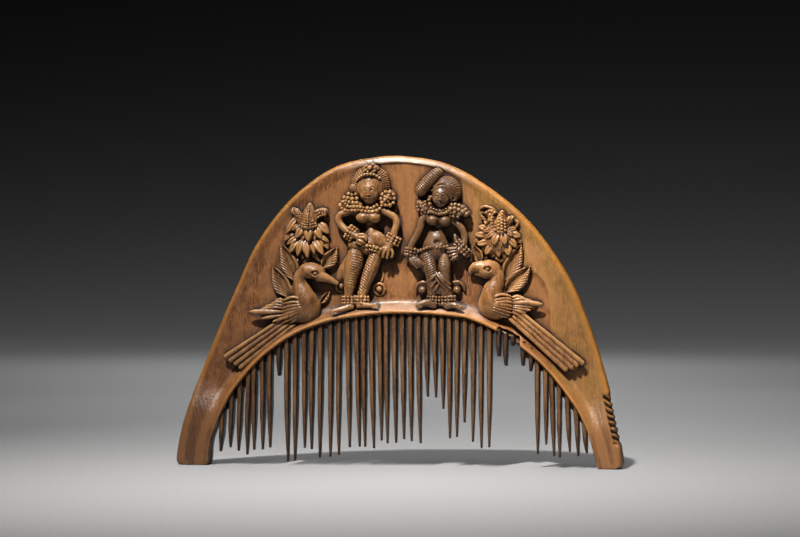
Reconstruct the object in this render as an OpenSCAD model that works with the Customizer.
// Carved ivory comb standing on its two end guards.
// X runs along the comb, the carved front faces -Y, and Z is up.

/* [Plate] */
// Width over the two end guards
comb_w = 135.4; // [125:0.2:145]
// Height from the feet to the top of the arch
comb_h = 93.4; // [88:0.2:100]
// How far the back face lies behind the sunk ground
back_t = 5.5; // [4.5:0.1:7]
// How far the rim and the plain field stand out from the sunk ground
rim_h = 0.6; // [0.3:0.1:2]
// How far the ledge over the teeth stands out from the sunk ground
ledge_h = 3.5; // [2.5:0.1:4]
// Width of the rounded band along the ledge
ledge_w = 1.6; // [1:0.1:2.5]
// Width of the cove that rises from the ground to the ledge
cove_w = 3.4; // [2:0.1:4.5]
// Radius across the rounded outer edge
edge_r = 2.2; // [1.5:0.1:3]
// How much thinner the outer edge is at the back
edge_thin = 1.3; // [0.5:0.1:2]
// How much thinner the plate is at the back where the teeth start
bed_thin = 2.2; // [1:0.1:2.5]

/* [Teeth] */
// Width of a tooth, seen from the front
tooth_w = 1.45; // [1:0.05:1.8]
// Front of a tooth at its root, measured from the sunk ground
tooth_front = 2; // [1.2:0.1:2.4]
// Back of a tooth at its root, measured from the sunk ground
tooth_back = 2.6; // [1.5:0.1:3]
// Width and thickness left at a tooth's blunt tip
tip_w = 0.5; // [0.3:0.05:0.8]
// Share of a tooth's length that keeps the full width
tooth_straight = 0.6; // [0.4:0.05:0.8]

/* [Relief] */
// Height of the carving over the ground, as a share of the drawn height
relief_k = 1; // [0.7:0.05:1]
// Sides of heads and bodies
round_sides = 12; // [10:2:16]
// Sides of limbs and other slender forms
relief_sides = 8; // [8:2:12]
// Sides of petals, leaves, feet, girdles and other small forms
small_sides = 6; // [6:2:10]

/* [Hidden] */
// Size at which the tables below are drawn
DRAWN_W = 135.4;
DRAWN_H = 93.4;
scale_x = comb_w / DRAWN_W;
scale_z = comb_h / DRAWN_H;
// Extra that a cutting solid reaches past a face
past = 1;

// Sections of the plate, from the left foot over the arch to the right foot.
// Columns: outer x, outer z, inner x, inner z, rim width, foot (1 is foot level and 0 is carved ground)
SECTIONS = [
    [-66.5, 0.0, -57.6, 0.0, 3.0, 1],
    [-67.7, 1.4, -57.4, 1.2, 3.0, 1],
    [-66.6, 9.0, -56.6, 7.6, 3.0, 1],
    [-64.2, 17.7, -53.6, 15.5, 3.0, 0.75],
    [-60.5, 28.0, -50.3, 21.8, 3.2, 0],
    [-55.1, 41.3, -44.6, 28.9, 3.4, 0],
    [-49.7, 53.6, -38.9, 34.3, 3.4, 0],
    [-43.2, 67.2, -31.5, 39.3, 3.4, 0],
    [-33.0, 80.3, -22.5, 42.9, 3.4, 0],
    [-20.2, 89.6, -14.6, 44.6, 3.6, 0],
    [-7.0, 92.9, -6.0, 45.7, 4.0, 0],
    [3.5, 93.1, 2.5, 45.9, 4.0, 0],
    [15.3, 90.5, 12.0, 45.5, 3.8, 0],
    [27.5, 83.5, 21.1, 44.4, 4.0, 0],
    [38.3, 74.5, 29.5, 40.9, 5.0, 0],
    [46.5, 64.4, 36.5, 36.4, 7.0, 0],
    [53.5, 52.2, 43.5, 30.6, 8.6, 0],
    [59.0, 38.0, 49.5, 23.5, 8.6, 0],
    [62.9, 25.0, 54.0, 17.0, 4.6, 0.1],
    [65.6, 13.0, 57.0, 10.5, 3.0, 0.85],
    [67.1, 6.0, 58.8, 4.5, 3.0, 1],
    [67.7, 1.4, 59.6, 1.2, 3.0, 1],
    [66.7, 0.0, 59.8, 0.0, 3.0, 1]
];
// Rings of the loft between two rows of the table
RINGS = 3;

// Whole teeth from left to right. Columns: x at the root, lean towards +X at the tip, z of the tip
TEETH = [
    [-54.2, -0.1, 4.0], [-51.3, 0.0, 5.2], [-48.7, -0.1, 4.2], [-46.0, -0.1, 3.1], [-43.8, -0.2, 4.6],
    [-41.4, 0.0, 4.7], [-39.0, -0.1, 5.3], [-33.7, 0.1, 1.1], [-31.2, -0.3, 1.4], [-28.4, -0.1, 5.3],
    [-25.9, -0.5, 4.9], [-23.4, -0.5, 2.4], [-20.5, -0.2, 2.7], [-17.8, -0.3, 3.3], [-15.3, 0.5, 5.6],
    [-12.7, 0.9, 5.8], [-10.4, 0.3, 5.8], [-8.1, 0.7, 5.4], [-5.7, 0.6, 7.7], [-3.5, 0.2, 6.9],
    [-1.1, 0.4, 7.1], [1.3, 0.4, 8.2], [3.8, 0.2, 7.6], [6.3, 0.4, 7.0], [8.6, 0.3, 21.0],
    [11.0, 0.4, 20.8], [13.3, 0.3, 17.4], [15.5, 0.1, 8.6], [17.9, -0.2, 9.0], [20.4, -0.4, 13.4],
    [22.7, -0.2, 7.6], [25.1, 0.0, 5.8], [27.6, -0.2, 6.0], [41.9, 0.1, 4.1], [44.4, 0.1, 7.0],
    [46.8, 0.1, 3.6], [49.2, -0.6, 3.2], [51.6, 0.0, 4.8], [54.1, 0.0, 3.6], [56.6, 0.0, 4.6]
];
// Broken teeth. Columns: x at the root, z of the broken end, width of the break
STUBS = [
    [-36.2, 27.0, 0.5],
    [30.3, 33.2, 0.9],
    [32.4, 30.5, 0.6],
    [37.2, 30.3, 0.6],
    [39.5, 28.8, 0.7]
];

TOOTH_NODES = [for (i = [1 : len(TEETH)]) str("tooth_", i < 10 ? "0" : "", i)];
RELIEF_NODES = ["figure_left", "figure_right", "bird_left", "bird_right", "flower_left", "flower_right"];

// Value between a and b at share t
function mix(a, b, t) = a + (b - a) * t;

// Row of a table at place t, on a smooth curve through its rows
function spline(rows, t) =
    let (
        last = len(rows) - 1,
        i = min(floor(t), last - 1),
        u = t - i,
        p0 = rows[max(i - 1, 0)],
        p1 = rows[i],
        p2 = rows[i + 1],
        p3 = rows[min(i + 2, last)]
    )
    0.5 * (2 * p1 + (p2 - p0) * u + (2 * p0 - 5 * p1 + 4 * p2 - p3) * u * u
        + (3 * p1 - p0 - 3 * p2 + p3) * u * u * u);

// Points of one section, as distance from the outer edge and y: every section has as many
function profile(length, rim_w, foot) =
    let (
        step_w = 0.6,
        band_drop = 0.25,
        corner = 0.6,
        rim_y = -mix(rim_h, ledge_h, foot),
        ground_y = -mix(0, ledge_h, foot),
        edge_back = back_t - edge_thin,
        edge_mid = (rim_y + edge_back) / 2,
        edge_half = (edge_back - rim_y) / 2,
        cove = min(cove_w, length - ledge_w - rim_w - step_w),
        cove_s = length - ledge_w - cove
    )
    [
        [0, edge_mid],
        for (a = [45, 75]) [edge_r * (1 - cos(a)), edge_mid - edge_half * sin(a)],
        [rim_w - step_w / 2, rim_y],
        [rim_w + step_w / 2, ground_y],
        [cove_s, ground_y],
        [cove_s + 0.6 * cove, mix(ground_y, -ledge_h, 0.45)],
        [length - ledge_w, -ledge_h + band_drop * (1 - foot)],
        [length - ledge_w / 2, -ledge_h],
        [length, -ledge_h + corner],
        [length, back_t - bed_thin],
        [length - ledge_w, back_t - bed_thin / 2],
        [length * 0.55, back_t],
        [rim_w, edge_back + edge_thin / 2],
        for (a = [75, 45]) [edge_r * (1 - cos(a)), edge_mid + edge_half * sin(a)]
    ];

// One section of the plate, placed in the comb
function ring(row) =
    let (
        outer = [row[0] * scale_x, row[1] * scale_z],
        inner = [row[2] * scale_x, row[3] * scale_z],
        length = norm(inner - outer),
        way = (inner - outer) / length
    )
    [
        for (p = profile(length, row[4], min(max(row[5], 0), 1)))
            [outer[0] + way[0] * p[0], p[1], outer[1] + way[1] * p[0]]
    ];

PLACES = [for (k = [0 : RINGS * (len(SECTIONS) - 1)]) k / RINGS];
ROWS = [for (t = PLACES) spline(SECTIONS, t)];
// Height of the tooth line over each x, for lookup
TOOTH_LINE = [for (row = ROWS) [row[2] * scale_x, row[3] * scale_z]];

function tooth_name(i) = TOOTH_NODES[i];

module plate_solid() {
    rings = [for (row = ROWS) ring(row)];
    n = len(rings[0]);
    m = len(rings);
    sides = [
        for (k = [0 : m - 2], j = [0 : n - 1])
            let (a = k * n + j, b = k * n + (j + 1) % n)
            each [[a, b + n, b], [a, a + n, b + n]]
    ];
    left_foot = [for (j = [1 : n - 2]) [0, j, j + 1]];
    end = (m - 1) * n;
    right_foot = [for (j = [1 : n - 2]) [end, end + j + 1, end + j]];
    polyhedron([for (r = rings) each r], concat(sides, left_foot, right_foot));
}

module back_plate() {
    color("peru") plate_solid();
}

// A hand-sawn tooth: flat front and back, parallel sides, then a long taper to a blunt tip
module tooth(x, lean, tip_z) {
    left = x - tooth_w / 2;
    right = x + tooth_w / 2;
    top_left = lookup(left, TOOTH_LINE);
    top_right = lookup(right, TOOTH_LINE);
    top = max(top_left, top_right);
    bend_z = mix(top, tip_z, tooth_straight);
    bend_x = lean * tooth_straight;
    tip_x = x + lean;
    middle_y = (tooth_back - tooth_front) / 2;
    color("saddlebrown") intersection() {
        translate([0, tooth_back + past, 0]) rotate([90, 0, 0])
            linear_extrude(tooth_front + tooth_back + 2 * past) polygon([
                [left, top_left],
                [left + bend_x, bend_z],
                [tip_x - tip_w / 2, tip_z],
                [tip_x + tip_w / 2, tip_z],
                [right + bend_x, bend_z],
                [right, top_right]
            ]);
        translate([left - 2 * past, 0, 0]) rotate([90, 0, 90])
            linear_extrude(tooth_w + 4 * past) polygon([
                [-tooth_front, top + past],
                [-tooth_front, bend_z],
                [middle_y - tip_w, tip_z],
                [middle_y + tip_w, tip_z],
                [tooth_back, bend_z],
                [tooth_back, top + past]
            ]);
    }
}

// A tooth broken off short, with a slanting break
module stub(x, end_z, break_w) {
    left = x - tooth_w / 2;
    right = x + tooth_w / 2;
    slant = 2.4;
    translate([0, tooth_back, 0]) rotate([90, 0, 0])
        linear_extrude(tooth_front + tooth_back) polygon([
            [left, lookup(left, TOOTH_LINE)],
            [left, end_z + slant],
            [x - break_w / 2, end_z],
            [x + break_w / 2, end_z],
            [right, end_z + slant / 2],
            [right, lookup(right, TOOTH_LINE)]
        ]);
}

module tooth_stubs() {
    color("saddlebrown") for (row = STUBS) stub(row[0], row[1], row[2]);
}

// A round form of the relief at x and z, h over the ground, with radii along X, Z and outwards
module egg(x, z, h, rx, rz, rh, sides = relief_sides) {
    translate([x * scale_x, -h * relief_k, z * scale_z])
        scale([rx, rh * relief_k, rz]) sphere(1, $fn = sides);
}

// Round forms drawn out from each row to the next. Columns: x, z, h, radius
module strand(rows, sides = relief_sides) {
    for (i = [1 : len(rows) - 1]) hull() {
        for (row = [rows[i - 1], rows[i]]) egg(row[0], row[1], row[2], row[3], row[3], row[3], sides);
    }
}

// Single round forms. Columns: x, z, h, radius
module beads(rows) {
    for (row = rows) egg(row[0], row[1], row[2], row[3], row[3], row[3]);
}

// The carving that stands on the plate: what reaches into the plate is taken off
module carved(tint) {
    color(tint) difference() {
        union() children();
        plate_solid();
    }
}

module figure_left() {
    carved("burlywood") {
        // Headdress, its front jewel and the face
        egg(-8.4, 84.4, 1.0, 6.2, 6.8, 2.7, round_sides);
        egg(-8.4, 89.5, 2.6, 2.2, 1.7, 1.5);
        egg(-8.4, 83.4, 2.5, 3.3, 4.1, 3.1, round_sides);
        // Ear flowers and the garland on the shoulders
        beads([[-3.0, 79.8, 2.3, 2.2], [-14.9, 78.3, 2.0, 2.0], [-11.9, 77.9, 2.4, 1.9]]);
        // Neck, chest, waist and hips
        strand([
            [-8.6, 79.0, 1.4, 2.0], [-8.9, 74.6, 1.0, 2.9],
            [-8.3, 70.4, 0.9, 2.3], [-9.4, 66.4, 1.2, 3.4]
        ]);
        strand([[-14.9, 76.0, 1.4, 1.8], [-8.8, 76.2, 2.3, 1.5], [-4.4, 76.0, 1.5, 1.8]], small_sides);
        beads([[-11.0, 74.2, 2.8, 2.1], [-6.7, 74.2, 2.8, 2.1]]);
        // Arms and hands
        strand([
            [-15.6, 75.6, 1.6, 1.7], [-18.2, 73.2, 1.8, 1.4],
            [-16.0, 70.4, 2.5, 1.4], [-11.7, 67.9, 3.3, 1.6]
        ]);
        strand([
            [-4.4, 75.8, 1.6, 1.7], [-0.6, 73.6, 1.9, 1.4],
            [-1.7, 68.2, 2.5, 1.5], [-3.2, 64.6, 3.0, 1.6]
        ]);
        // Girdle
        strand([[-14.0, 67.4, 2.2, 1.4], [-9.4, 66.3, 3.4, 1.2], [-4.3, 65.0, 3.0, 1.3]], small_sides);
        // Legs and anklets
        strand([[-12.4, 63.6, 1.6, 2.9], [-14.4, 52.0, 1.6, 1.6]]);
        strand([[-7.2, 62.8, 1.8, 2.5], [-10.6, 52.0, 1.7, 1.5]]);
        strand([[-14.8, 49.9, 1.7, 1.5], [-9.9, 49.8, 1.9, 1.5]], small_sides);
        // Feet on the ledge
        strand([[-13.8, 47.6, 2.4, 1.2], [-19.6, 46.6, 3.2, 0.7]], small_sides);
        strand([[-11.6, 48.6, 2.6, 1.2], [-5.9, 48.3, 3.2, 0.7]], small_sides);
        // Round ends of the cloth beside the legs
        beads([[-17.3, 53.9, 1.0, 1.8], [-5.7, 53.3, 0.9, 1.5]]);
    }
}

module figure_right() {
    carved("burlywood") {
        // Long bun, hair and face
        strand([[7.2, 82.6, 2.2, 2.2], [13.0, 88.0, 1.7, 2.2]]);
        egg(14.7, 82.8, 1.2, 4.9, 5.6, 2.7, round_sides);
        egg(13.2, 81.0, 2.5, 3.1, 3.9, 3.1, round_sides);
        // Garlands on the shoulders
        strand([[6.6, 79.0, 1.8, 1.7], [9.4, 76.8, 2.4, 1.7]], small_sides);
        strand([[16.9, 77.8, 2.2, 1.8], [20.6, 75.0, 1.7, 1.8]], small_sides);
        // Neck, chest, belly and hips
        strand([
            [13.2, 77.4, 1.4, 2.0], [12.6, 73.4, 1.0, 2.9],
            [12.1, 69.4, 1.4, 2.4], [12.0, 66.2, 1.5, 3.3]
        ]);
        strand([[8.4, 75.6, 1.5, 1.8], [13.1, 75.3, 2.4, 1.5], [17.8, 74.6, 1.5, 1.8]], small_sides);
        beads([[10.7, 73.5, 2.8, 2.1], [14.9, 73.3, 2.8, 2.1]]);
        // Arms and hands
        strand([
            [7.9, 74.6, 1.5, 1.6], [6.5, 69.7, 1.8, 1.4],
            [4.6, 66.0, 2.3, 1.6], [5.3, 61.9, 2.6, 1.5]
        ]);
        strand([
            [18.4, 73.6, 1.4, 1.6], [20.2, 68.7, 1.7, 1.4],
            [19.4, 65.0, 2.4, 1.6], [15.6, 63.4, 3.0, 1.4]
        ]);
        // Girdle
        strand([[7.0, 64.0, 2.4, 1.3], [12.1, 65.9, 3.4, 1.2], [16.4, 64.8, 3.0, 1.3]], small_sides);
        // Legs and anklets
        strand([[9.9, 62.4, 1.8, 2.5], [11.0, 52.6, 1.7, 1.6]]);
        strand([[14.6, 62.4, 1.8, 2.5], [14.9, 52.6, 1.7, 1.6]]);
        strand([[10.6, 50.1, 1.8, 1.5], [16.1, 50.0, 1.8, 1.5]], small_sides);
        // Feet on the ledge
        strand([[11.8, 48.3, 2.5, 1.2], [6.2, 47.9, 3.2, 0.7]], small_sides);
        strand([[13.4, 48.3, 2.5, 1.2], [18.4, 47.7, 3.2, 0.7]], small_sides);
        // Round ends of the cloth beside the legs
        beads([[7.2, 53.4, 1.0, 1.7], [18.2, 53.4, 1.0, 1.7]]);
    }
}

// The long tail: straight ribs side by side, from the rump to the ends. Columns: x, z, h
module ribs(from_a, from_b, to_a, to_b) {
    count = 4;
    rump_r = 1.2;
    end_r = 1.1;
    for (k = [0 : count - 1]) {
        u = k / (count - 1);
        strand([concat(mix(from_a, from_b, u), rump_r), concat(mix(to_a, to_b, u), end_r)]);
    }
}

module bird_left() {
    carved("tan") {
        // Head, beak and bent neck
        egg(-25.4, 58.0, 2.3, 3.3, 2.9, 2.8, round_sides);
        strand([[-22.8, 57.0, 2.2, 1.3], [-19.7, 55.1, 1.6, 0.7]]);
        strand([[-27.6, 57.0, 1.8, 2.2], [-29.3, 53.6, 1.7, 2.1], [-27.6, 50.2, 1.9, 3.1]]);
        egg(-26.9, 48.0, 1.7, 4.4, 4.0, 3.3, round_sides);
        // Folded wing and the rump under it
        strand([[-29.0, 49.8, 2.6, 2.2], [-35.6, 47.2, 2.4, 2.6], [-44.6, 45.9, 1.2, 1.0]]);
        strand([[-30.4, 46.4, 2.0, 2.6], [-36.4, 43.6, 1.5, 2.2]]);
        // Long tail
        ribs([-37.6, 43.3, 1.4], [-33.4, 40.6, 1.9], [-53.2, 32.4, 0.9], [-47.9, 28.9, 1.6]);
    }
}

module bird_right() {
    carved("tan") {
        // Head, hooked beak and bent neck
        egg(26.7, 59.4, 2.3, 3.6, 3.1, 3.0, round_sides);
        strand([[23.9, 58.6, 2.1, 1.7], [21.8, 57.0, 1.8, 0.8]]);
        strand([[29.5, 58.2, 1.8, 2.4], [29.6, 54.4, 1.8, 2.7], [27.2, 51.2, 1.9, 3.4]]);
        egg(26.6, 49.2, 1.7, 4.5, 4.2, 3.3, round_sides);
        // Folded wing and the rump under it
        strand([[29.2, 49.6, 2.6, 2.2], [35.0, 48.9, 2.5, 2.6], [42.3, 49.1, 1.2, 0.8]]);
        strand([[31.0, 46.6, 2.0, 2.4], [36.0, 46.0, 1.6, 2.0]]);
        // Long tail
        ribs([34.9, 44.2, 1.9], [39.2, 45.8, 1.4], [48.6, 29.2, 1.6], [54.6, 31.6, 1.8]);
    }
}

// A pointed leaf from its foot to its tip. Columns of both: x, z
module leaf(foot, tip, half_w) {
    middle = mix(foot, tip, 0.45);
    h = 0.9;
    hull() {
        egg(foot[0], foot[1], h, 0.5, 0.5, 0.8, small_sides);
        egg(middle[0], middle[1], h, half_w, half_w, 1.1, small_sides);
        egg(tip[0], tip[1], h, 0.3, 0.3, 0.7, small_sides);
    }
}

// A many-petalled flower round a middle, with petals in tiers and a heap of seeds with buds above
module lotus(x, z) {
    // Columns: petals, first angle, last angle, distance of foot and of tip, h of foot and of tip
    tiers = [
        [9, -205, 25, 3.6, 6.2, 1.8, 0.9],
        [7, -190, 10, 1.4, 4.2, 3.2, 2.4]
    ];
    egg(x, z, 0.8, 4.6, 4.6, 2.6);
    for (tier = tiers, k = [0 : tier[0] - 1]) {
        a = mix(tier[1], tier[2], k / (tier[0] - 1));
        way = [cos(a), sin(a)];
        foot = [x, z] + tier[3] * way;
        tip = [x, z] + tier[4] * way;
        hull() {
            egg(foot[0], foot[1], tier[5], 1.1, 1.1, 1.1, small_sides);
            egg(tip[0], tip[1], tier[6], 0.5, 0.5, 0.6, small_sides);
        }
    }
    egg(x + 0.4, z + 3.2, 2.2, 2.6, 2.6, 2.0);
}

module flower_left() {
    carved("wheat") {
        lotus(-27.2, 69.6);
        strand([[-29.6, 73.4, 1.4, 1.3], [-32.4, 77.6, 1.2, 1.3]], small_sides);
        strand([[-26.9, 74.8, 1.6, 1.5], [-26.8, 78.4, 1.4, 1.4]], small_sides);
        strand([[-24.8, 73.4, 1.4, 1.4], [-22.0, 77.0, 1.3, 1.4]], small_sides);
        leaf([-32.4, 51.1], [-38.3, 59.6], 1.9);
        leaf([-30.6, 57.6], [-35.6, 66.4], 2.2);
        leaf([-21.8, 59.4], [-18.7, 65.6], 1.6);
    }
}

module flower_right() {
    carved("wheat") {
        lotus(31.0, 70.4);
        strand([[29.0, 73.8, 1.4, 1.4], [27.2, 76.8, 1.3, 1.5]], small_sides);
        strand([[31.2, 75.0, 1.6, 1.5], [31.6, 77.6, 1.4, 1.5]], small_sides);
        strand([[33.2, 73.6, 1.4, 1.4], [35.2, 75.8, 1.3, 1.4]], small_sides);
        leaf([33.6, 57.2], [36.7, 66.3], 1.4);
        leaf([34.6, 56.8], [37.6, 63.4], 1.4);
        leaf([32.8, 53.0], [39.1, 60.2], 1.8);
    }
}

back_plate();
for (i = [0 : len(TEETH) - 1]) {
    tooth(TEETH[i][0], TEETH[i][1], TEETH[i][2]);
}
tooth_stubs();
figure_left();
figure_right();
bird_left();
bird_right();
flower_left();
flower_right();
